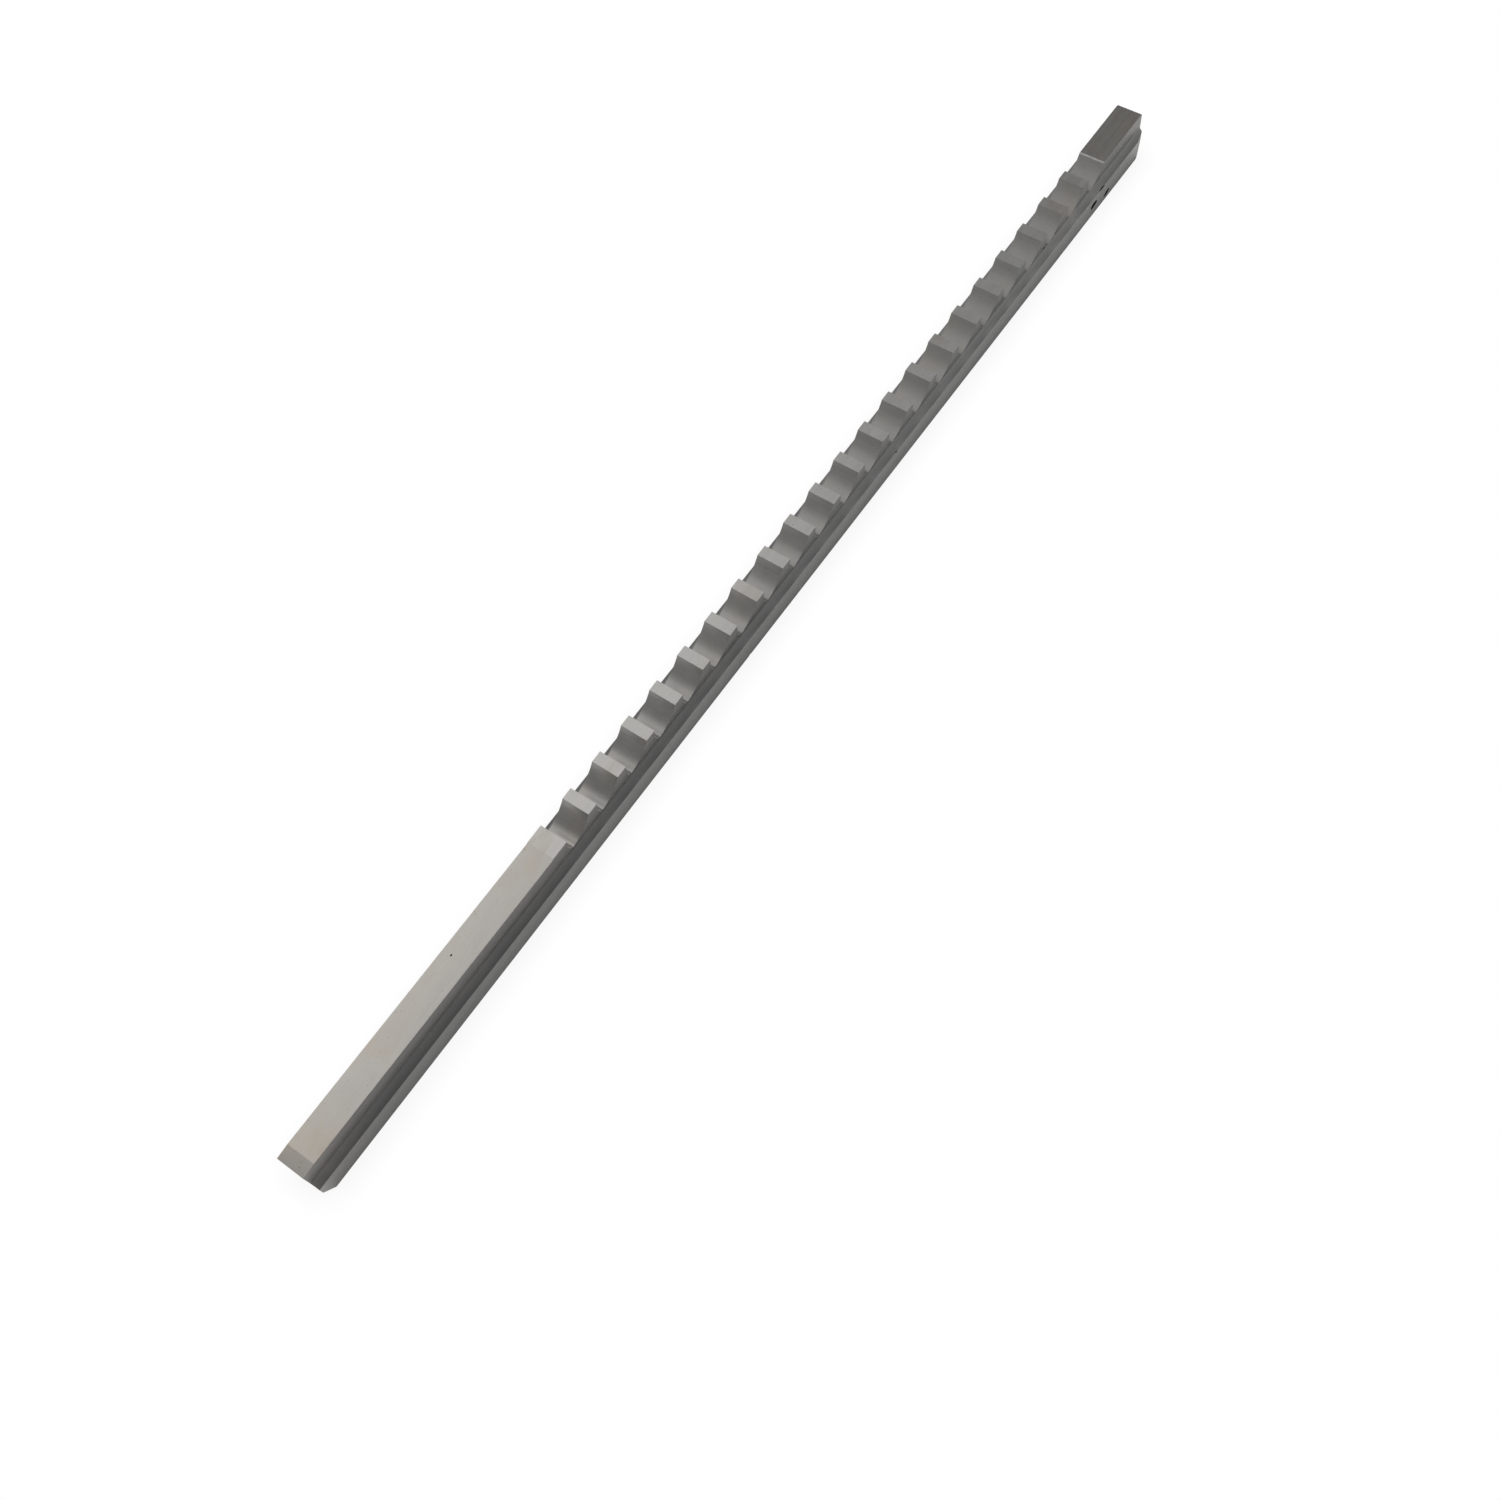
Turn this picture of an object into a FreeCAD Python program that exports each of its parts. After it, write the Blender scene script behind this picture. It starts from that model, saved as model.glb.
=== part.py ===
# Keyway broach: one bar of ground tool steel with a row of cutting teeth
# Frame: X along the bar from the push end (-X) to the pilot end (+X), Y across,
# +Z from the flat back up to the teeth. Origin: middle of the bar, on the back face.
import FreeCAD
import Part
import math
import os
from FreeCAD import Vector

# Bar, in millimetres and degrees
overall_length = 298.45
body_width = 9.525
body_height = 5.6
blade_width = 6.35
root_radius = 1.2
body_edge_break = 0.3

# Plain shank at the push end
shank_length = 71.3
shank_height = 11.25
push_bevel_length = 3.0
push_bevel_drop = 0.35
foot_bevel_length = 2.3
foot_bevel_height = 3.5

# Teeth, counted from the tallest one next to the shank
tooth_count = 22
tooth_pitch = 9.41
tallest_tooth_height = 11.55
rise_per_tooth = 0.043
tallest_land = 4.65
land_length = 2.6
relief_angle = 1.2
step_length = 0.55
gullet_depth = 4.1
hook_angle = 10.0
gullet_root_radius = 1.5
gullet_back_radius = 9.0

# Plain pilot that enters the slot first
pilot_height = 10.6
pilot_bevel_length = 0.6
pilot_bevel_drop = 0.25
entry_chamfer_length = 3.5
entry_chamfer_width = 0.95
blade_corner_break = 0.25

NODE = "broach"
PUSH_END_X = -overall_length / 2
PILOT_END_X = overall_length / 2


def cutting_edge_x(tooth):
    """Place of a tooth's cutting edge along the bar, the tallest tooth being number 0."""
    return PUSH_END_X + shank_length + tallest_land + tooth * tooth_pitch


def tooth_height(tooth):
    """Height of a tooth's cutting edge above the back."""
    return tallest_tooth_height - tooth * rise_per_tooth


def land_start(tooth):
    """Rear end of a tooth's land, which the relief angle leaves lower than its cutting edge."""
    length = tallest_land - step_length if tooth == 0 else land_length
    x = cutting_edge_x(tooth) - length
    z = tooth_height(tooth) - length * math.tan(math.radians(relief_angle))
    return Vector(x, 0, z)


def gullet_exit(tooth):
    """Where the back slope in front of a tooth ends: the next land, or the pilot's top."""
    if tooth + 1 < tooth_count:
        return land_start(tooth + 1)
    return Vector(cutting_edge_x(tooth_count) - land_length, 0, pilot_height)


def circle_meeting(first, first_radius, second, second_radius):
    """The higher of the two points at the given distances from two centres."""
    between = second.sub(first)
    span = between.Length
    along = (first_radius ** 2 - second_radius ** 2 + span ** 2) / (2 * span)
    aside = math.sqrt(first_radius ** 2 - along ** 2)
    unit = between.multiply(1 / span)
    upward = Vector(-unit.z, 0, unit.x)
    return first + unit * along + upward * aside


def arc_between(centre, start, end, radius):
    """The arc below its centre from one point to another."""
    lowest = (start.sub(centre)).normalize() + (end.sub(centre)).normalize()
    middle = centre + lowest.normalize() * radius
    return Part.Arc(start, middle, end).toShape()


def gullet_edges(tooth):
    """Chip space in front of a tooth: hooked rake face, root radius and curved back slope."""
    hook = math.radians(hook_angle)
    edge = Vector(cutting_edge_x(tooth), 0, tooth_height(tooth))
    into_space = Vector(math.cos(hook), 0, -math.sin(hook))
    root_z = edge.z - gullet_depth + gullet_root_radius
    root_x = edge.x + (gullet_root_radius + (root_z - edge.z) * math.sin(hook)) / math.cos(hook)
    root_centre = Vector(root_x, 0, root_z)
    rake_foot = root_centre - into_space * gullet_root_radius

    exit_point = gullet_exit(tooth)
    back_centre = circle_meeting(
        root_centre, gullet_back_radius - gullet_root_radius, exit_point, gullet_back_radius
    )
    blend = back_centre + (root_centre - back_centre).normalize() * gullet_back_radius

    return [
        Part.LineSegment(edge, rake_foot).toShape(),
        arc_between(root_centre, rake_foot, blend, gullet_root_radius),
        arc_between(back_centre, blend, exit_point, gullet_back_radius),
    ]


def lines_through(points):
    """Straight edges from each point to the next."""
    return [Part.LineSegment(a, b).toShape() for a, b in zip(points, points[1:])]


def side_outline():
    """Outline of the bar seen from the side, as one closed wire."""
    shank_end = PUSH_END_X + shank_length
    below = lines_through([
        gullet_exit(tooth_count - 1),
        Vector(PILOT_END_X - pilot_bevel_length, 0, pilot_height),
        Vector(PILOT_END_X, 0, pilot_height - pilot_bevel_drop),
        Vector(PILOT_END_X, 0, foot_bevel_height),
        Vector(PILOT_END_X - foot_bevel_length, 0, 0),
        Vector(PUSH_END_X + foot_bevel_length, 0, 0),
        Vector(PUSH_END_X, 0, foot_bevel_height),
        Vector(PUSH_END_X, 0, shank_height - push_bevel_drop),
        Vector(PUSH_END_X + push_bevel_length, 0, shank_height),
        Vector(shank_end, 0, shank_height),
        land_start(0),
    ])
    teeth = []
    for tooth in range(tooth_count):
        edge = Vector(cutting_edge_x(tooth), 0, tooth_height(tooth))
        teeth += lines_through([land_start(tooth), edge])
        teeth += gullet_edges(tooth)
    return Part.Wire(teeth + below)


def side_slab():
    """The side outline carried across the bar's full width."""
    face = Part.Face(side_outline())
    face.translate(Vector(0, -body_width / 2, 0))
    return face.extrude(Vector(0, body_width, 0))


def half_section(side):
    """One half of the end view, from the back's middle up to the blade's middle."""
    outer = side * body_width / 2
    wall = side * blade_width / 2
    top = tallest_tooth_height + root_radius
    break_in = outer - side * body_edge_break
    fillet_centre = Vector(0, wall + side * root_radius, body_height + root_radius)
    diagonal = Vector(0, -side, -1).normalize() * root_radius
    fillet_low = fillet_centre - Vector(0, 0, root_radius)
    fillet_high = fillet_centre - Vector(0, side * root_radius, 0)
    edges = lines_through([
        Vector(0, 0, 0),
        Vector(0, break_in, 0),
        Vector(0, outer, body_edge_break),
        Vector(0, outer, body_height),
        fillet_low,
    ])
    edges.append(Part.Arc(fillet_low, fillet_centre + diagonal, fillet_high).toShape())
    edges += lines_through([fillet_high, Vector(0, wall, top), Vector(0, 0, top)])
    return edges


def stepped_bar():
    """Wide body with the narrow blade on it and a fillet along each side, at full length."""
    right = Part.Wire(half_section(1))
    left = Part.Wire(half_section(-1))
    outline = Part.Wire(Part.__sortEdges__(right.Edges + left.Edges))
    face = Part.Face(outline)
    face.translate(Vector(PUSH_END_X, 0, 0))
    return face.extrude(Vector(overall_length, 0, 0))


def corner_wedge(side, end, half_width, length, depth):
    """Upright wedge that takes a slanting corner off one side of the bar at one end."""
    tip_x = PILOT_END_X if end > 0 else PUSH_END_X
    outer = side * half_width
    reach = 1.0
    slope = depth / length
    corners = [
        Vector(tip_x - end * length, outer, -reach),
        Vector(tip_x + end * reach, outer - side * (depth + slope * reach), -reach),
        Vector(tip_x + end * reach, outer + side * reach, -reach),
        Vector(tip_x - end * length, outer + side * reach, -reach),
    ]
    face = Part.Face(Part.makePolygon(corners + corners[:1]))
    return face.extrude(Vector(0, 0, tallest_tooth_height + 2 * reach))


def build_broach():
    """The whole tool as one solid."""
    bar = stepped_bar().common(side_slab())
    for side in (1, -1):
        bar = bar.cut(corner_wedge(side, 1, body_width / 2, entry_chamfer_length, entry_chamfer_width))
        for end in (1, -1):
            corner = corner_wedge(side, end, blade_width / 2, blade_corner_break, blade_corner_break)
            above_body = Part.makeBox(
                overall_length * 2, body_width * 2, tallest_tooth_height,
                Vector(-overall_length, -body_width, body_height + root_radius),
            )
            bar = bar.cut(corner.common(above_body))
    return bar.removeSplitter().Solids[0]


os.makedirs("parts", exist_ok=True)
broach = build_broach()
broach.exportStep(os.path.join("parts", NODE + ".step"))
box = broach.BoundBox
print("solids 1, volume %.0f mm3, valid %s" % (broach.Volume, broach.isValid()))
print("box %.2f x %.2f x %.2f mm, faces %d" % (box.XLength, box.YLength, box.ZLength, len(broach.Faces)))
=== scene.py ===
"""Keyway broach: builds the ground bar with its teeth, gives it its steel, and sets up a small studio."""
import math

import bmesh
import bpy
from bpy.props import FloatProperty, FloatVectorProperty, IntProperty, PointerProperty
from mathutils import Matrix, Vector, noise


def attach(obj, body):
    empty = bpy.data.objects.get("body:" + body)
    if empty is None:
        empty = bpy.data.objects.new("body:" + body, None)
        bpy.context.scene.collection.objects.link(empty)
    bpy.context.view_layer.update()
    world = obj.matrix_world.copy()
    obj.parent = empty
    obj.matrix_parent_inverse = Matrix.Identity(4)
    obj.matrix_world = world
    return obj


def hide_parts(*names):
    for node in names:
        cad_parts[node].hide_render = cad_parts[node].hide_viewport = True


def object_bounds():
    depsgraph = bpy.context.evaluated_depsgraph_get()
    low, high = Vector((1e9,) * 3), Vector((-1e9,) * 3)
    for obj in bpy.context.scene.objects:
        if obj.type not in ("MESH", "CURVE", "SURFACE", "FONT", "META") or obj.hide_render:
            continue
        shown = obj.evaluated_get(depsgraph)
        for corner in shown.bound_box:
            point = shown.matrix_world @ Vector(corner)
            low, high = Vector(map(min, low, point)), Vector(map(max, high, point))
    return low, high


bl_info = {
    "name": "Keyway Broach",
    "version": (1, 0, 0),
    "blender": (4, 5, 0),
    "location": "3D Viewport > Sidebar > Broach",
    "description": "Builds a keyway broach with ground steel finishes and a small studio",
    "category": "Add Mesh",
}

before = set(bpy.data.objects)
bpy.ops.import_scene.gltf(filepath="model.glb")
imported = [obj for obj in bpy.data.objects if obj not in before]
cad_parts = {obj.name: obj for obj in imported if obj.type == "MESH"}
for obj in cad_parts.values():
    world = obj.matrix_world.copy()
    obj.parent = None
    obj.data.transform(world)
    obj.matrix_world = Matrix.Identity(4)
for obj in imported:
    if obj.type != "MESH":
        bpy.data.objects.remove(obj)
CAD_LOW, CAD_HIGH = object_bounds()
CAD_SIZE = CAD_HIGH - CAD_LOW

BAR_NODE = "broach"
BAR_PIECE = "ground_bar"

MM = 0.001
OVERCUT = 2 * MM
INSIDE_BOX = 0.0005 * MM  # how far the tallest tooth stays below the top of the CAD's box
ARC_STEP = math.radians(5)
SHARP_ANGLE = math.radians(35)  # an edge that turns more than this stays sharp and can wear
RAKE_STEPS = 16  # steps of a gullet's outline, from its cutting edge, that have the rake's finish
NICK_UNEVENNESS = 0.35  # how far a nick strays from an even pebble, as a share of its size
WEAR_UNEVENNESS = 0.15  # how far an edge's wear strays from its usual width, as a share of it
WEAR_PATCH = 7 * MM  # length of edge over which its wear changes

# Finishes of the bar's faces, in the order of its material slots
GROUND_SIDES = 0
GROUND_TOPS = 1
GULLETS = 2
CUT_ENDS = 3
WORN_EDGES = 4
NICKS = 5
LEDGES = 6
LANDS = 7
WALLS = 8
RUBBED = 9
RAKES = 10

# Spacing of the marks on the steel along X, Y and Z
GRIND_ALONG = (9 * MM, 0.09 * MM, 0.09 * MM)
GRIND_ACROSS = (0.10 * MM, 8 * MM, 0.10 * MM)
GRIND_MIXED = (0.12 * MM, 0.5 * MM, 0.16 * MM)
PATCHES = (14 * MM, 6 * MM, 6 * MM)
SMUDGES = (4 * MM, 2.2 * MM, 2.2 * MM)
PORES = (0.9 * MM, 0.7 * MM, 0.7 * MM)

BAND_GAPS = 6  # spacing of the broad bands, counted in spacings of the grind lines
GRIND_DEPTH = 0.0012 * MM
ROUGH_DEPTH = 2 * GRIND_DEPTH

# Stretches of the bar, from its middle, over which its finish changes
PUSH_TO_PILOT = (-120 * MM, 120 * MM)
HANDLED_TO_PLAIN = (-145 * MM, -130 * MM)

MIRRORED_FALLOFF = 2.2  # how quickly the mirrored shadow deepens towards the bar


def length(name, description, default, **limits):
    """A length in metres that the sidebar shows with its unit."""
    return FloatProperty(
        name=name, description=description, default=default, unit="LENGTH", precision=5, **limits
    )


def colour(name, description, default):
    """A colour that the sidebar shows as a swatch."""
    return FloatVectorProperty(
        name=name, description=description, default=default, subtype="COLOR", size=3, min=0, max=1
    )


def fraction(name, description, default):
    """A plain share from 0 to 1."""
    return FloatProperty(
        name=name, description=description, default=default, subtype="FACTOR", min=0, max=1
    )


class BroachBar(bpy.types.PropertyGroup):
    """Sizes of the bar without its teeth."""

    length: length("Length", "Whole length of the bar", CAD_SIZE.x)
    body_width: length("Body width", "Width of the guide body", CAD_SIZE.y)
    body_height: length("Body height", "From the back to the ledge beside the blade", 5.6 * MM)
    blade_width: length("Blade width", "Width of the keyway that the teeth cut", 6.35 * MM)
    root_radius: length("Root radius", "Fillet between blade and ledge", 1.2 * MM)
    edge_break: length("Edge break", "Bevel along the body's lower edges", 0.3 * MM)
    shank_length: length("Shank length", "Plain length at the push end", 71.3 * MM)
    shank_height: length("Shank height", "From the back to the top of the shank", 11.25 * MM)
    push_bevel: length("Push bevel", "Length of the bevel on the shank's end", 3.0 * MM)
    push_drop: length("Push drop", "How far that bevel drops", 0.35 * MM)
    foot_length: length("Foot length", "Length of the bevel under each end", 2.3 * MM)
    foot_height: length("Foot height", "Height of the bevel under each end", 3.5 * MM)
    pilot_height: length("Pilot height", "From the back to the top of the pilot", 10.6 * MM)
    pilot_bevel: length("Pilot bevel", "Length of the bevel on the pilot's end", 0.6 * MM)
    pilot_drop: length("Pilot drop", "How far that bevel drops", 0.25 * MM)
    entry_length: length("Entry length", "Length of the corners cut off the pilot's body", 3.5 * MM)
    entry_width: length("Entry width", "Width of those corners", 0.95 * MM)


class BroachTeeth(bpy.types.PropertyGroup):
    """Sizes of the teeth and of the gullets between them."""

    count: IntProperty(name="Teeth", description="Number of cutting teeth", default=22, min=2)
    pitch: length("Pitch", "From one cutting edge to the next", 9.41 * MM)
    tallest: length(
        "Tallest tooth", "Height of the tooth beside the shank", CAD_SIZE.z - INSIDE_BOX
    )
    rise: length("Rise", "How much each tooth is taller than the one before it", 0.043 * MM)
    tallest_land: length("Tallest land", "From the shank's end to the tallest edge", 4.65 * MM)
    land: length("Land", "Length of the flat behind each other cutting edge", 2.6 * MM)
    step: length("Step", "Length of the ramp from the shank to the tallest land", 0.55 * MM)
    depth: length("Gullet depth", "From a cutting edge to the bottom of its gullet", 4.1 * MM)
    root: length("Gullet root", "Radius at the foot of the rake face", 1.5 * MM)
    back: length("Gullet back", "Radius of the slope behind the next tooth", 9.0 * MM)
    hook: FloatProperty(
        name="Hook angle", description="How far the rake face leans back",
        default=math.radians(10), subtype="ANGLE",
    )
    relief: FloatProperty(
        name="Relief angle", description="How far the land falls behind its cutting edge",
        default=math.radians(1.2), subtype="ANGLE",
    )


class BroachWear(bpy.types.PropertyGroup):
    """Bevels and small damage on the edges."""

    rub: length("Rubbed start", "Bevel that rubbing leaves where the pilot's top starts", 0.35 * MM)
    corner: length("Corner break", "Bevel on the blade's upright end corners", 0.22 * MM)
    edge: length("Edge wear", "Bevel that handling leaves on plain edges", 0.12 * MM)
    cutting: length("Cutting edge", "Bevel that use leaves on a cutting edge", 0.03 * MM)
    seed: IntProperty(name="Seed", description="Changes the small uneven details", default=7)


class BroachSteel(bpy.types.PropertyGroup):
    """Colours and finish of the steel."""

    ground: colour("Ground steel", "Colour of the ground sides and back", (0.38, 0.38, 0.375))
    # Wall colours are a darker copy of the ground steel: painted shade on the blade's walls above the
    # ledges.
    wall: colour("Wall steel", "Colour of the blade's walls", (0.31, 0.305, 0.30))
    far_wall: colour("Far wall steel", "Colour of the walls at the pilot end", (0.30, 0.30, 0.295))
    top: colour("Top steel", "Colour of the top of shank and pilot", (0.43, 0.415, 0.39))
    land: colour("Land steel", "Colour of the lands at the push end", (0.54, 0.525, 0.505))
    far_land: colour("Far land steel", "Colour of the lands at the pilot end", (0.55, 0.545, 0.53))
    rake: colour("Rake steel", "Colour of the reground rake faces", (0.82, 0.81, 0.79))
    milled: colour("Gullet steel", "Colour inside the gullets", (0.36, 0.35, 0.335))
    far_milled: colour("Far gullet steel", "Colour inside the gullets at the pilot end", (0.42, 0.415, 0.40))
    # Ledge colours: a dark, dull colour on the ledges and root fillets, painted shade of the corner at the
    # foot of the blade, lighter at the pilot end.
    ledge_shade: colour("Ledge shade", "Colour of the ledges at the push end", (0.125, 0.124, 0.123))
    far_ledge_shade: colour("Far ledge shade", "Colour of the ledges at the pilot end", (0.225, 0.225, 0.223))
    cut: colour("Cut steel", "Colour of the ends and their bevels", (0.34, 0.335, 0.33))
    # The edge colour is darker than the faces beside it, so each bevel shows as a dark line along its edge.
    worn: colour("Dark edge steel", "Colour of the worn edges", (0.24, 0.235, 0.23))
    bare: colour("Bare steel", "Colour of the pilot's rubbed start", (0.44, 0.435, 0.425))
    tarnish: colour("Tarnish", "Brown film on handled faces", (0.36, 0.31, 0.25))
    grime: colour("Grime", "Dark film in the corners and pits", (0.07, 0.065, 0.06))
    scale: colour("Scale", "Colour at the bottom of the nicks", (0.03, 0.029, 0.028))
    roughness: fraction("Roughness", "Average roughness of the ground faces", 0.30)
    tarnish_amount: fraction("Tarnish amount", "How much of the brown film shows", 0.6)


class BroachStudio(bpy.types.PropertyGroup):
    """Camera, lamp, floor and room."""

    camera_place: FloatVectorProperty(
        name="Camera", description="Where the camera stands", subtype="XYZ_LENGTH",
        default=(-0.14032, -0.12124, 0.28852), precision=5,
    )
    aim_point: FloatVectorProperty(
        name="Aim", description="The point in the middle of the picture", subtype="XYZ_LENGTH",
        default=(-0.03646, -0.01945, 0.006), precision=5,
    )
    roll: FloatProperty(
        name="Roll", description="Turn of the camera about its own line of sight",
        default=math.radians(-10.634), subtype="ANGLE",
    )
    lens: FloatProperty(
        name="Lens", description="Focal length of the camera, in millimetres", default=38.71
    )
    lamp_length: length("Lamp length", "Side of the soft lamp along the bar", 1.14)
    lamp_width: length("Lamp width", "Side of the soft lamp across the bar", 0.825)
    lamp_place: FloatVectorProperty(
        name="Lamp", description="Where the middle of the soft lamp hangs", subtype="XYZ_LENGTH",
        default=(-0.02, 0.7875, 1.0),
    )
    lamp_power: FloatProperty(
        name="Lamp power", description="Power of the soft lamp", default=3.75, unit="POWER"
    )
    floor_size: length("Floor size", "Side of the square floor", 40.0)
    contact_reach: length("Contact shadow", "How far the shadow at the bar's foot reaches", 0.006)
    contact_depth: fraction("Contact depth", "How dark that shadow is", 0.15)
    mirror_reach: length("Mirrored shadow", "How far the shadow in the bar's sides reaches", 0.035)
    floor: colour("Floor", "Colour of the floor", (0.93, 0.93, 0.93))
    ambient: fraction("Ambient", "Brightness of the room on plain colours", 0.75)
    room: fraction("Room", "Brightness of the room that the steel mirrors", 0.29)
    room_end: fraction("Room end", "How much darker the room is beyond the pilot end", 0.05)
    room_front: fraction("Room front", "How much darker the room is on the camera's side", 0.14)


# Shader maths

class Signal:
    """A socket of a material's nodes that can stand in Python sums and products."""

    def __init__(self, finish, socket):
        self.finish = finish
        self.socket = socket

    def _math(self, operation, first, second=None):
        settings = {"operation": operation}
        values = {0: first} if second is None else {0: first, 1: second}
        return self.finish.node("ShaderNodeMath", settings, values)

    def __add__(self, other):
        return self._math("ADD", self, other)

    __radd__ = __add__

    def __sub__(self, other):
        return self._math("SUBTRACT", self, other)

    def __rsub__(self, other):
        return self._math("SUBTRACT", other, self)

    def __mul__(self, other):
        return self._math("MULTIPLY", self, other)

    __rmul__ = __mul__

    def __pow__(self, other):
        return self._math("POWER", self, other)

    def at_least(self, other):
        """The larger of the two values."""
        return self._math("MAXIMUM", self, other)

    def ramp(self, low, high):
        """0 below low, 1 above high, and smooth between them."""
        settings = {"interpolation_type": "SMOOTHSTEP"}
        return self.finish.node("ShaderNodeMapRange", settings, {"Value": self, 1: low, 2: high})


class Finish:
    """One node tree, and the calls that fill it."""

    def __init__(self, tree):
        self.tree = tree
        self.tree.nodes.clear()

    @classmethod
    def material(cls, name):
        """A new material and the finish that fills it."""
        made = bpy.data.materials.new(name)
        made.use_nodes = True
        return made, cls(made.node_tree)

    def node(self, kind, settings=None, values=None, output=0):
        """Adds a node: its settings first, then the values or links of its sockets."""
        made = self.tree.nodes.new(kind)
        for key, value in (settings or {}).items():
            setattr(made, key, value)
        for key, value in (values or {}).items():
            socket = made.inputs[key]
            if isinstance(value, Signal):
                self.tree.links.new(value.socket, socket)
            else:
                socket.default_value = value
        return Signal(self, made.outputs[output]) if made.outputs else made

    def spaced(self, place, gaps):
        """A place counted in gaps instead of metres, along X, Y and Z."""
        per_metre = tuple(1 / gap for gap in gaps)
        return self.node("ShaderNodeVectorMath", {"operation": "MULTIPLY"}, {0: place, 1: per_metre})

    def clouds(self, place, gaps, detail=3.0, roughness=0.5, distortion=0.0):
        """Noise from about 0.2 to 0.8 with one bump for each gap."""
        values = {
            "Vector": self.spaced(place, gaps), "Scale": 1.0, "Detail": detail,
            "Roughness": roughness, "Distortion": distortion,
        }
        return self.node("ShaderNodeTexNoise", {"noise_dimensions": "3D"}, values)

    def blend(self, factor, first, second):
        """Two colours mixed."""
        values = {"Factor": factor, 6: first, 7: second}
        return self.node("ShaderNodeMix", {"data_type": "RGBA"}, values, output=2)


def rgba(rgb):
    """A colour with its alpha, as a node's socket wants it."""
    return (rgb[0], rgb[1], rgb[2], 1.0)


# Shapes

def arc_points(centre, radius, start, end):
    """Points from one angle to another round a centre, the start left out, in steps of ARC_STEP."""
    steps = max(2, round(abs(end - start) / ARC_STEP))
    turns = [start + (end - start) * step / steps for step in range(1, steps + 1)]
    return [centre + Vector((math.cos(turn), math.sin(turn))) * radius for turn in turns]


def angle_of(arrow):
    """Angle of a 2D arrow from the X axis, from 0 to 360 degrees."""
    return math.atan2(arrow.y, arrow.x) % math.tau


def circle_meeting(first, first_radius, second, second_radius):
    """The higher of the two points at the given distances from two centres."""
    between = second - first
    along = (first_radius ** 2 - second_radius ** 2 + between.length_squared) / (2 * between.length)
    aside = math.sqrt(first_radius ** 2 - along ** 2)
    unit = between.normalized()
    return first + unit * along + Vector((-unit.y, unit.x)) * aside


def cutting_edge(bar, teeth, tooth):
    """Place of a tooth's cutting edge in the side view, the tallest tooth being number 0."""
    first = -bar.length / 2 + bar.shank_length + teeth.tallest_land
    return Vector((first + tooth * teeth.pitch, teeth.tallest - tooth * teeth.rise))


def land_start(bar, teeth, tooth):
    """Rear end of a tooth's land, which the relief leaves lower than its cutting edge."""
    reach = teeth.tallest_land - teeth.step if tooth == 0 else teeth.land
    return cutting_edge(bar, teeth, tooth) - Vector((reach, reach * math.tan(teeth.relief)))


def gullet_exit(bar, teeth, tooth):
    """Where the back slope in front of a tooth ends."""
    if tooth + 1 < teeth.count:
        return land_start(bar, teeth, tooth + 1)
    return Vector((cutting_edge(bar, teeth, teeth.count).x - teeth.land, bar.pilot_height))


def gullet_points(bar, teeth, tooth):
    """Rake face, root and back slope of one gullet, from its cutting edge to its exit."""
    edge = cutting_edge(bar, teeth, tooth)
    leave = gullet_exit(bar, teeth, tooth)
    root_height = teeth.root - teeth.depth
    root_reach = (teeth.root + root_height * math.sin(teeth.hook)) / math.cos(teeth.hook)
    root = edge + Vector((root_reach, root_height))
    back = circle_meeting(root, teeth.back - teeth.root, leave, teeth.back)
    rake_foot = math.pi - teeth.hook
    blend = angle_of(root - back)
    foot = root + Vector((math.cos(rake_foot), math.sin(rake_foot))) * teeth.root
    points = [foot]
    points += arc_points(root, teeth.root, rake_foot, blend)
    points += arc_points(back, teeth.back, blend, angle_of(leave - back))
    return points


def rubbed_start(before, corner, rub):
    """The rounded start of the pilot's top, in place of the corner after the last back slope."""
    leave = corner + (before - corner).normalized() * rub
    arrive = corner + Vector((rub, 0))
    middle = (leave + 2 * corner + arrive) / 4
    return [(leave, RUBBED), (middle, RUBBED), (arrive, GROUND_TOPS)]


def side_outline(bar, teeth, rub):
    """The bar seen from the side: a list of (point, finish of the face that starts there)."""
    low, high = -bar.length / 2, bar.length / 2
    overrun = bar.foot_length * OVERCUT / bar.foot_height
    outline = [
        (Vector((low, bar.foot_height)), CUT_ENDS),
        (Vector((low, bar.shank_height - bar.push_drop)), CUT_ENDS),
        (Vector((low + bar.push_bevel, bar.shank_height)), GROUND_TOPS),
        (Vector((low + bar.shank_length, bar.shank_height)), GROUND_TOPS),
    ]
    for tooth in range(teeth.count):
        outline.append((land_start(bar, teeth, tooth), LANDS))
        gullet = [cutting_edge(bar, teeth, tooth), *gullet_points(bar, teeth, tooth)[:-1]]
        outline += [(point, RAKES) for point in gullet[:RAKE_STEPS]]
        outline += [(point, GULLETS) for point in gullet[RAKE_STEPS:]]
    outline += rubbed_start(outline[-1][0], gullet_exit(bar, teeth, teeth.count - 1), rub)
    outline += [
        (Vector((high - bar.pilot_bevel, bar.pilot_height)), CUT_ENDS),
        (Vector((high, bar.pilot_height - bar.pilot_drop)), CUT_ENDS),
        (Vector((high, bar.foot_height)), CUT_ENDS),
        (Vector((high - bar.foot_length - overrun, -OVERCUT)), GROUND_SIDES),
        (Vector((low + bar.foot_length + overrun, -OVERCUT)), CUT_ENDS),
    ]
    return outline


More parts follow.
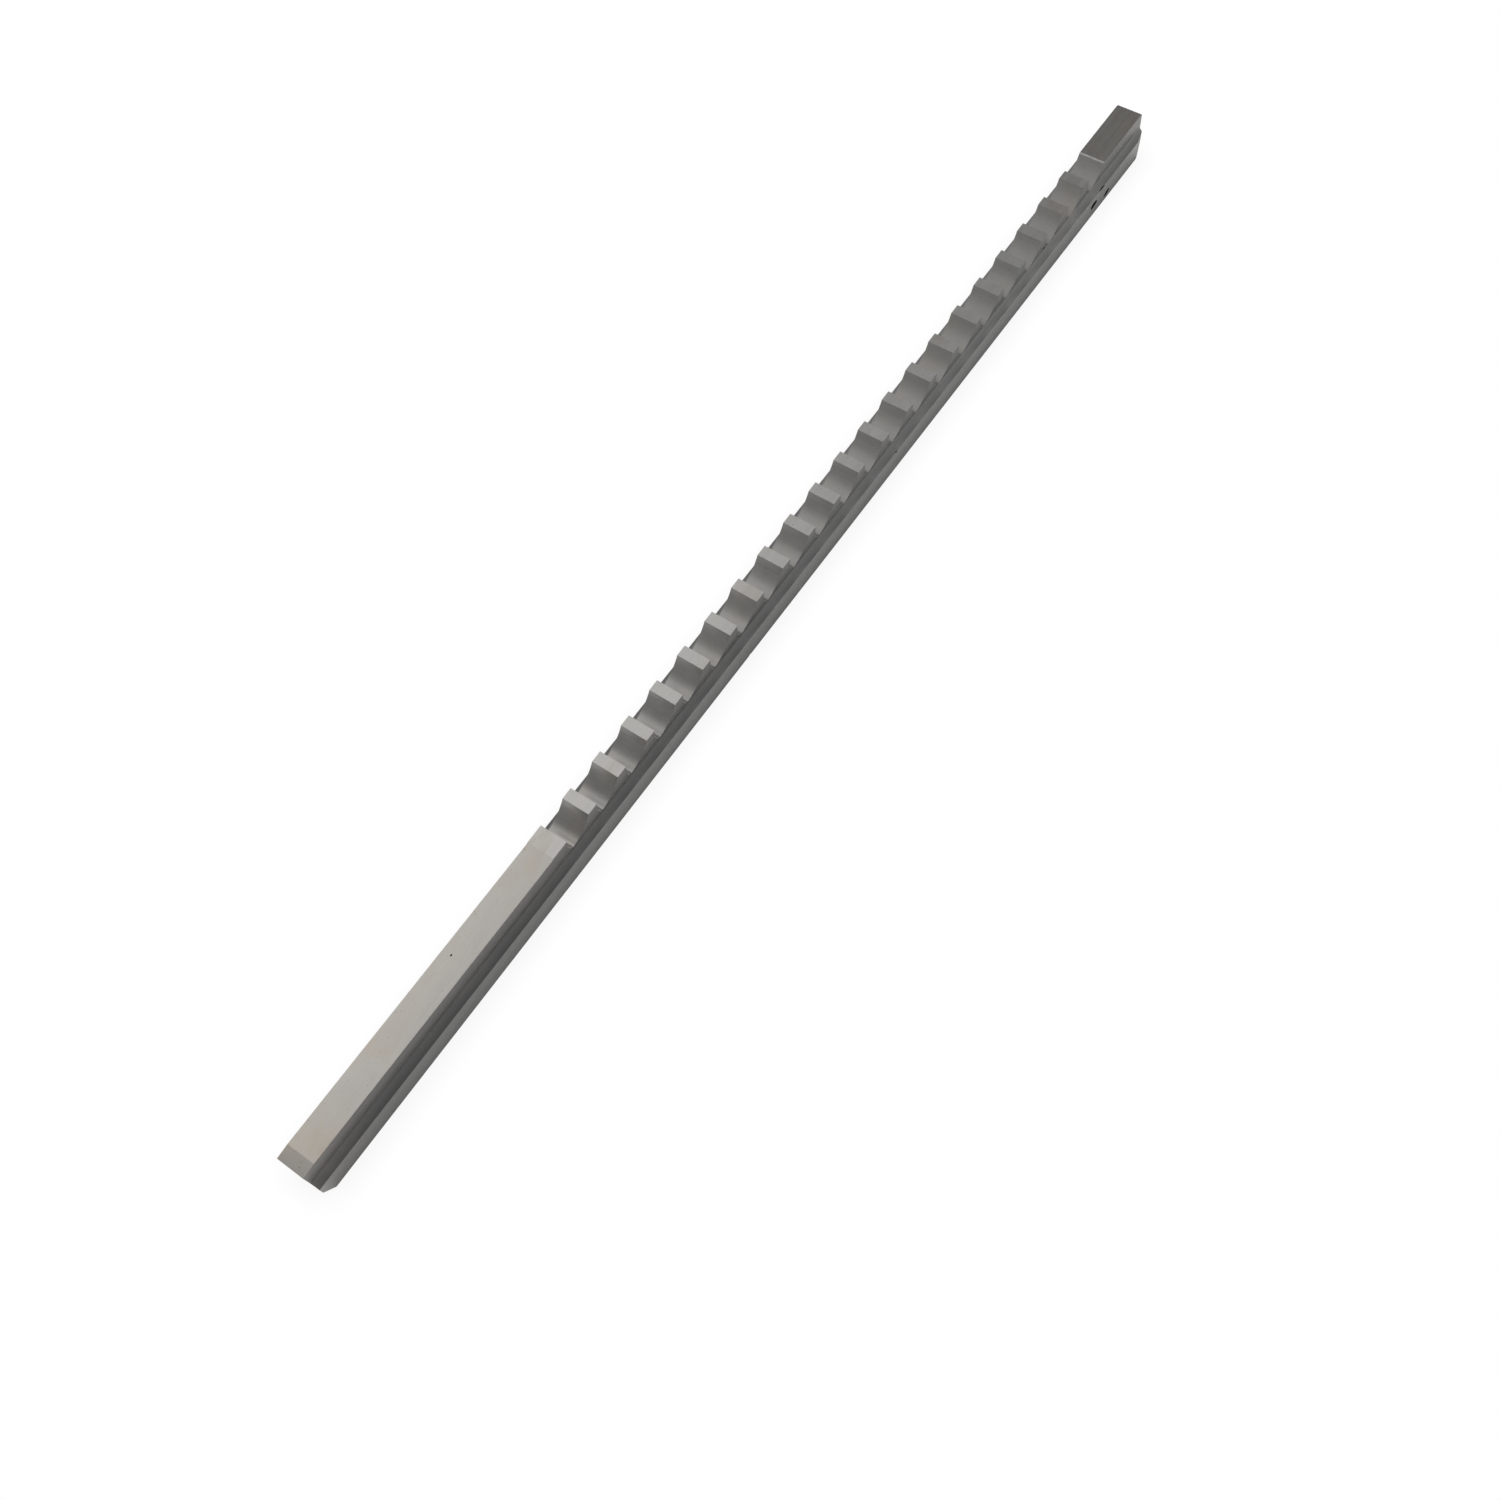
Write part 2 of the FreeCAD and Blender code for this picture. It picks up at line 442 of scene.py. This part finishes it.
def end_outline(bar, teeth):
    """The stepped section seen from the end, the same on both sides."""
    half_body, half_blade = bar.body_width / 2, bar.blade_width / 2
    centre = Vector((half_blade + bar.root_radius, bar.body_height + bar.root_radius))
    right = [
        Vector((half_body - bar.edge_break, 0)),
        Vector((half_body, bar.edge_break)),
        Vector((half_body, bar.body_height)),
        Vector((centre.x, bar.body_height)),
    ]
    right += arc_points(centre, bar.root_radius, math.pi * 1.5, math.pi)
    right.append(Vector((half_blade, teeth.tallest + OVERCUT)))
    left = [Vector((-point.x, point.y)) for point in reversed(right)]
    # The ledge and its fillet take the LEDGES finish, whose dark colour is painted shade of that corner.
    finishes = [GROUND_SIDES] * 2 + [LEDGES] * (len(right) - 4) + [WALLS] * 2
    mirrored = finishes[-2::-1] + [GROUND_SIDES]
    return list(zip(right + left, finishes + mirrored))


def top_outline(bar):
    """The bar seen from above, with the corners cut off the pilot's body."""
    low, high = -bar.length / 2 - OVERCUT, bar.length / 2 + OVERCUT
    half = bar.body_width / 2 + OVERCUT
    slope = bar.entry_width / bar.entry_length
    corner = bar.length / 2 - bar.entry_length - OVERCUT / slope
    tip = bar.body_width / 2 - bar.entry_width - OVERCUT * slope
    points = [(low, -half), (corner, -half), (high, -tip), (high, tip), (corner, half), (low, half)]
    return [(Vector(point), CUT_ENDS) for point in points]


def prism(name, outline, place, extent, materials):
    """A closed solid: the outline carried from one end of extent to the other.

    place turns (first, second, along) into a point of the bar's frame.
    """
    mesh = bpy.data.meshes.new(name)
    shape = bmesh.new()
    ends = [
        [shape.verts.new(place(point.x, point.y, along)) for point, _ in outline]
        for along in extent
    ]
    for ring in ends:
        shape.faces.new(ring).material_index = CUT_ENDS
    near, far = ends
    for index, (_, finish) in enumerate(outline):
        after = (index + 1) % len(outline)
        side = shape.faces.new((near[index], near[after], far[after], far[index]))
        side.material_index = finish
    bmesh.ops.recalc_face_normals(shape, faces=shape.faces)
    shape.to_mesh(mesh)
    shape.free()
    fill_slots(mesh, materials)
    return new_object(name, mesh)


def fill_slots(mesh, materials):
    """Gives a mesh all the finishes, which a Boolean needs to keep each face's own."""
    for material in materials:
        mesh.materials.append(material)


def new_object(name, data):
    """An object of that data, in the scene."""
    made = bpy.data.objects.new(name, data)
    bpy.context.scene.collection.objects.link(made)
    return made


def boolean(target, cutter, operation):
    """Adds a Boolean modifier that keeps the finishes of both shapes."""
    made = target.modifiers.new(operation.lower(), "BOOLEAN")
    made.operation = operation
    made.solver = "EXACT"
    made.material_mode = "INDEX"
    made.object = cutter


def applied_mesh(target, name):
    """The target's mesh with its modifiers applied, as new data."""
    graph = bpy.context.evaluated_depsgraph_get()
    mesh = bpy.data.meshes.new_from_object(target.evaluated_get(graph), depsgraph=graph)
    mesh.name = name
    return mesh


def discard(*objects):
    """Deletes helper objects and their meshes."""
    for made in objects:
        data = made.data
        bpy.data.objects.remove(made)
        bpy.data.meshes.remove(data)


# Small damage

def nick_cutter(place, half_sizes, turn, seed, materials):
    """One uneven pebble that bites a small nick out of an edge or a face."""
    shape = bmesh.new()
    bmesh.ops.create_icosphere(shape, subdivisions=2, radius=1)
    for vert in shape.verts:
        vert.co *= 1 + NICK_UNEVENNESS * noise.noise(vert.co * 1.7 + Vector((seed, 0, 0)))
    grow = Matrix.Diagonal((*half_sizes, 1))
    matrix = Matrix.Translation(place) @ Matrix.Rotation(turn, 4, "Y") @ grow
    bmesh.ops.transform(shape, matrix=matrix, verts=shape.verts)
    for face in shape.faces:
        face.material_index = NICKS
    mesh = bpy.data.meshes.new("nick")
    shape.to_mesh(mesh)
    shape.free()
    fill_slots(mesh, materials)
    return new_object("nick", mesh)


def nick_places(bar, teeth):
    """Where the nicks are: (place, half sizes, turn). The larger ones are on the right, by the pilot."""
    right = -bar.body_width / 2
    pilot_start = gullet_exit(bar, teeth, teeth.count - 1).x
    low = -bar.length / 2
    ledge_gouge = Vector((pilot_start - 2.6 * MM, right, bar.body_height))
    side_gouge = Vector((pilot_start + 0.3 * MM, right, 2.0 * MM))
    upper_gouge = Vector((pilot_start - 5.9 * MM, right, 3.4 * MM))
    wall_pit = Vector((low + 253.7 * MM, -bar.blade_width / 2, 7.1 * MM))
    shank_dent = Vector((low + 46.2 * MM, 1.1 * MM, bar.shank_height))
    foot_dent = Vector((low + 133.0 * MM, right, 0.3 * MM))
    ledge_dent = Vector((low + 189.0 * MM, right, bar.body_height))
    back_dent = Vector((low + 96.0 * MM, -right, bar.body_height))
    return [
        (ledge_gouge, (1.3 * MM, 0.24 * MM, 0.2 * MM), 0.05),
        (side_gouge, (1.4 * MM, 0.4 * MM, 0.6 * MM), -0.2),
        (upper_gouge, (1.45 * MM, 0.5 * MM, 0.8 * MM), -0.1),
        (wall_pit, (0.4 * MM, 0.2 * MM, 0.35 * MM), 0.4),
        (shank_dent, (0.24 * MM, 0.18 * MM, 0.06 * MM), 0.0),
        (foot_dent, (0.5 * MM, 0.18 * MM, 0.16 * MM), 0.0),
        (ledge_dent, (0.45 * MM, 0.16 * MM, 0.14 * MM), 0.1),
        (back_dent, (0.6 * MM, 0.18 * MM, 0.16 * MM), 0.05),
    ]


# The bar

def mark_edge_wear(mesh, bar, teeth, wear):
    """Writes how wide each sharp edge is bevelled, as a share of the widest bevel."""
    low_x, high_x = -bar.length / 2, bar.length / 2
    edges_x = [cutting_edge(bar, teeth, tooth).x for tooth in range(teeth.count)]
    near = 0.02 * MM
    shape = bmesh.new()
    shape.from_mesh(mesh)
    bmesh.ops.remove_doubles(shape, verts=shape.verts, dist=0.001 * MM)
    layer = shape.edges.layers.float.new("bevel_weight_edge")
    for edge in shape.edges:
        if len(edge.link_faces) != 2 or edge.calc_face_angle(0) < SHARP_ANGLE:
            continue
        start, end = (vert.co for vert in edge.verts)
        middle = (start + end) / 2
        upright = abs(end.z - start.z) > 2 * abs(end.x - start.x) + 2 * abs(end.y - start.y)
        at_end = min(middle.x - low_x, high_x - middle.x) < near
        across = abs(end.y - start.y) > abs(end.x - start.x) + abs(end.z - start.z)
        on_cutting_edge = across and min(abs(middle.x - x) for x in edges_x) < near
        if on_cutting_edge:
            width = wear.cutting
        elif upright and at_end and middle.z > bar.body_height:
            width = wear.corner
        else:
            uneven = noise.noise(middle / WEAR_PATCH + Vector((wear.seed, 0, 0)))
            width = wear.edge * (1 + WEAR_UNEVENNESS * uneven)
        edge[layer] = width / wear.corner
    shape.to_mesh(mesh)
    shape.free()


def bar_mesh(bar, teeth, wear, materials):
    """The whole bar as one closed mesh with sharp edges."""
    far = (bar.length / 2 + OVERCUT) * Vector((-1, 1))
    section = prism(BAR_PIECE, end_outline(bar, teeth), lambda y, z, x: (x, y, z), far, materials)
    wide = (bar.body_width / 2 + OVERCUT) * Vector((-1, 1))
    side = prism(
        "side", side_outline(bar, teeth, wear.rub), lambda x, z, y: (x, y, z), wide, materials
    )
    tall = (-2 * OVERCUT, teeth.tallest + 2 * OVERCUT)
    top = prism("top", top_outline(bar), lambda x, y, z: (x, y, z), tall, materials)
    boolean(section, side, "INTERSECT")
    boolean(section, top, "INTERSECT")
    mesh = applied_mesh(section, BAR_PIECE)
    discard(section, side, top)
    return mesh


def worn_mesh(mesh, bar, teeth, wear, materials):
    """The bar with its marked edges bevelled and the nicks taken out."""
    blank = new_object("blank", mesh)
    bevel = blank.modifiers.new("edge_wear", "BEVEL")
    bevel.limit_method = "WEIGHT"
    bevel.width = wear.corner
    bevel.segments = 2
    bevel.material = WORN_EDGES
    nicks = [
        nick_cutter(place, half_sizes, turn, wear.seed + index, materials)
        for index, (place, half_sizes, turn) in enumerate(nick_places(bar, teeth))
    ]
    for nick in nicks:
        boolean(blank, nick, "DIFFERENCE")
    worn = applied_mesh(blank, BAR_PIECE)
    discard(blank, *nicks)
    return worn


class BROACH_OT_bar(bpy.types.Operator):
    """Build the ground bar with its teeth, edges and nicks"""

    bl_idname = "broach.bar"
    bl_label = "Build Bar"

    def execute(self, context):
        scene = context.scene
        bar, teeth, wear = scene.broach_bar, scene.broach_teeth, scene.broach_wear
        materials = steel_materials(scene.broach_steel)
        sharp = bar_mesh(bar, teeth, wear, materials)
        mark_edge_wear(sharp, bar, teeth, wear)
        mesh = worn_mesh(sharp, bar, teeth, wear, materials)
        mesh.shade_smooth()
        mesh.set_sharp_from_angle(angle=SHARP_ANGLE)
        piece = new_object(BAR_PIECE, mesh)
        normals = piece.modifiers.new("flat_faces", "WEIGHTED_NORMAL")
        normals.keep_sharp = True
        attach(piece, "root")
        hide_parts(BAR_NODE)
        return {"FINISHED"}


# Steel

def steel_marks(finish, place, line_gaps):
    """The steel's marks: grind lines, broad bands, patches, smudges, and pits that are 1 inside."""
    lines = finish.clouds(place, line_gaps, detail=4.0, roughness=0.65)
    bands = finish.clouds(place, [gap * BAND_GAPS for gap in line_gaps])
    patches = finish.clouds(place, PATCHES, detail=5.0, roughness=0.6, distortion=0.6)
    smudges = finish.clouds(place, SMUDGES, detail=4.0, roughness=0.7)
    pores = finish.node(
        "ShaderNodeTexVoronoi", {"feature": "F1"},
        {"Vector": finish.spaced(place, PORES), "Scale": 1.0},
    )
    pits = (1 - pores.ramp(0.06, 0.16)) * smudges.ramp(0.5, 0.62)
    return lines, bands, patches, smudges, pits


def steel_finish(
    name, steel, base, line_gaps, line_depth=GRIND_DEPTH, rough_shift=0.0, tarnish_share=1.0,
    far_base=None, far_rough=0.0, metallic=1.0,
):
    """Ground steel: fine grind lines, uneven sheen, brown film, grime and small pits.

    line_gaps is the spacing of the grind lines along X, Y and Z: wide along the lines.
    far_base is the colour at the pilot end, and far_rough how much rougher the steel is there.
    """
    made, finish = Finish.material(name)
    place = finish.node("ShaderNodeTexCoord", output="Object")
    along = finish.node("ShaderNodeSeparateXYZ", values={"Vector": place}, output="X")
    lines, bands, patches, smudges, pits = steel_marks(finish, place, line_gaps)

    far = along.ramp(*PUSH_TO_PILOT)
    clean = finish.blend(far, rgba(base), rgba(far_base or base))
    grimy = finish.blend(0.30, clean, rgba(steel.grime))
    shade = 0.86 + 0.28 * patches * smudges + 0.16 * bands
    surface_colour = finish.blend(shade.ramp(0.86, 1.1), grimy, clean)

    handled = 1 - along.ramp(*HANDLED_TO_PLAIN)
    film = (patches.ramp(0.48, 0.72) + 0.7 * handled) * (0.45 + 0.55 * smudges) * tarnish_share
    surface_colour = finish.blend(film * steel.tarnish_amount, surface_colour, rgba(steel.tarnish))
    surface_colour = finish.blend(pits * 0.7, surface_colour, rgba(steel.grime))

    roughness = steel.roughness + rough_shift - 0.06 + 0.10 * bands + 0.10 * smudges + 0.18 * pits
    roughness = roughness + far * far_rough
    height = lines * 0.6 + bands * 0.8 - pits * 2.0
    bump = finish.node(
        "ShaderNodeBump", values={"Strength": 1.0, "Distance": line_depth, "Height": height}
    )
    surface = finish.node("ShaderNodeBsdfPrincipled", values={
        "Base Color": surface_colour, "Roughness": roughness, "Metallic": metallic, "Normal": bump,
    })
    finish.node("ShaderNodeOutputMaterial", values={"Surface": surface})
    return made


def steel_materials(steel):
    """The bar's materials, in the order of its slots."""
    return [
        steel_finish("ground_sides", steel, steel.ground, GRIND_ALONG, tarnish_share=0.3),
        steel_finish("ground_tops", steel, steel.top, GRIND_ALONG, rough_shift=-0.04),
        steel_finish(
            "form_ground_gullets", steel, steel.milled, GRIND_ACROSS, rough_shift=-0.05,
            tarnish_share=0.6, far_base=steel.far_milled, far_rough=0.28,
        ),
        steel_finish("cut_ends", steel, steel.cut, GRIND_MIXED, ROUGH_DEPTH, rough_shift=0.06),
        # The bevelled edges are darker than the faces beside them, so they draw dark lines along the edges.
        steel_finish(
            "worn_edges", steel, steel.worn, GRIND_MIXED, rough_shift=0.04, tarnish_share=0.2
        ),
        steel_finish("nicks", steel, steel.scale, GRIND_MIXED, rough_shift=0.25, tarnish_share=0.0),
        # The ledges and root fillets are a dark, dull non-metal: painted shade of the corner at the foot of
        # the blade, lighter towards the pilot end.
        steel_finish(
            "shaded_ledges", steel, steel.ledge_shade, GRIND_ALONG, ROUGH_DEPTH, rough_shift=0.25,
            tarnish_share=0.2, far_base=steel.far_ledge_shade, metallic=0.0,
        ),
        steel_finish(
            "ground_lands", steel, steel.land, GRIND_ALONG, rough_shift=0.04,
            far_base=steel.far_land,
        ),
        # The walls are a darker copy of the ground steel: painted shade.
        steel_finish(
            "ground_walls", steel, steel.wall, GRIND_ALONG, rough_shift=0.15, tarnish_share=0.4,
            far_base=steel.far_wall,
        ),
        steel_finish("rubbed_start", steel, steel.bare, GRIND_MIXED, tarnish_share=0.2),
        steel_finish(
            "ground_rakes", steel, steel.rake, GRIND_ACROSS, rough_shift=0.02, tarnish_share=0.2
        ),
    ]


# Studio

def floor_material(studio):
    """Pale floor that stays white round the object and keeps its contact shadow."""
    made, finish = Finish.material("pale_floor")
    path = finish.node("ShaderNodeLightPath", output="Is Camera Ray")
    rays = path.socket.node.outputs
    mirrored = Signal(finish, rays["Is Glossy Ray"])
    seen = path.at_least(mirrored).at_least(Signal(finish, rays["Is Transmission Ray"]))
    occlusion = {"samples": 4}
    close = finish.node(
        "ShaderNodeAmbientOcclusion", occlusion, {"Distance": studio.contact_reach}, "AO"
    )
    wide = finish.node(
        "ShaderNodeAmbientOcclusion", occlusion, {"Distance": studio.mirror_reach}, "AO"
    )
    direct = 1 - studio.contact_depth * (1 - close)
    strength = direct + mirrored * (wide ** MIRRORED_FALLOFF - direct)
    white = finish.node("ShaderNodeEmission", values={"Color": (1, 1, 1, 1), "Strength": strength})
    matte = finish.node("ShaderNodeBsdfDiffuse", values={"Color": rgba(studio.floor)})
    mixed = finish.node("ShaderNodeMixShader", values={0: seen, 1: matte, 2: white})
    finish.node("ShaderNodeOutputMaterial", values={"Surface": mixed})
    return made


def fill_room(studio):
    """The room's light: plain on plain colours, and a dim soft room where steel mirrors it."""
    world = bpy.data.worlds.new("room")
    world.use_nodes = True
    finish = Finish(world.node_tree)
    heading = finish.node("ShaderNodeTexCoord", output="Generated")
    along = finish.node("ShaderNodeSeparateXYZ", values={"Vector": heading}, output="X")
    across = Signal(finish, along.socket.node.outputs["Y"])
    seen = finish.node("ShaderNodeLightPath", output="Is Camera Ray")
    mirrored = Signal(finish, seen.socket.node.outputs["Is Glossy Ray"])
    room = studio.room - studio.room_end * along + studio.room_front * across
    strength = studio.ambient + seen * (1 - studio.ambient) + mirrored * (room - studio.ambient)
    light = finish.node("ShaderNodeBackground", values={
        "Color": (1, 1, 1, 1), "Strength": strength,
    })
    finish.node("ShaderNodeOutputWorld", values={"Surface": light})
    bpy.context.scene.world = world


def place_camera(studio):
    """The camera at the photograph's angle."""
    data = bpy.data.cameras.new("camera")
    data.lens = studio.lens
    data.clip_start = 0.01
    camera = new_object("camera", data)
    place, aim = Vector(studio.camera_place), Vector(studio.aim_point)
    turn = (aim - place).to_track_quat("-Z", "Y").to_matrix().to_4x4()
    camera.matrix_world = Matrix.Translation(place) @ turn @ Matrix.Rotation(studio.roll, 4, "Z")
    bpy.context.scene.camera = camera


class BROACH_OT_studio(bpy.types.Operator):
    """Add the pale floor, the soft lamp, the room's light and the camera"""

    bl_idname = "broach.studio"
    bl_label = "Set Up Studio"

    def execute(self, context):
        studio = context.scene.broach_studio
        half = studio.floor_size / 2
        mesh = bpy.data.meshes.new("floor")
        corners = [(-half, -half, 0), (half, -half, 0), (half, half, 0), (-half, half, 0)]
        mesh.from_pydata(corners, [], [(0, 1, 2, 3)])
        mesh.materials.append(floor_material(studio))
        new_object("floor", mesh)

        lamp = bpy.data.lights.new("soft_lamp", "AREA")
        lamp.shape = "RECTANGLE"
        lamp.size = studio.lamp_length
        lamp.size_y = studio.lamp_width
        lamp.energy = studio.lamp_power
        new_object("soft_lamp", lamp).location = studio.lamp_place

        fill_room(studio)
        place_camera(studio)
        context.scene.view_settings.view_transform = "Standard"
        return {"FINISHED"}


class BROACH_PT_sidebar(bpy.types.Panel):
    """Sizes, finishes and buttons of the broach"""

    bl_label = "Keyway Broach"
    bl_idname = "BROACH_PT_sidebar"
    bl_space_type = "VIEW_3D"
    bl_region_type = "UI"
    bl_category = "Broach"

    def draw(self, context):
        for group in GROUPS:
            box = self.layout.box()
            settings = getattr(context.scene, group)
            for name in settings.__annotations__:
                box.prop(settings, name)
        for operator in OPERATORS:
            self.layout.operator(operator.bl_idname)


GROUPS = {
    "broach_bar": BroachBar,
    "broach_teeth": BroachTeeth,
    "broach_wear": BroachWear,
    "broach_steel": BroachSteel,
    "broach_studio": BroachStudio,
}
OPERATORS = (BROACH_OT_bar, BROACH_OT_studio)


def register():
    """Makes the classes and the scene's settings known."""
    for made in (*GROUPS.values(), *OPERATORS, BROACH_PT_sidebar):
        bpy.utils.register_class(made)
    for name, group in GROUPS.items():
        setattr(bpy.types.Scene, name, PointerProperty(type=group))


def unregister():
    """Removes what register added."""
    for name in GROUPS:
        delattr(bpy.types.Scene, name)
    for made in reversed((*GROUPS.values(), *OPERATORS, BROACH_PT_sidebar)):
        bpy.utils.unregister_class(made)


def main():
    """Builds everything in order."""
    register()
    bpy.ops.broach.bar()
    bpy.ops.broach.studio()


if __name__ == "__main__":
    main()
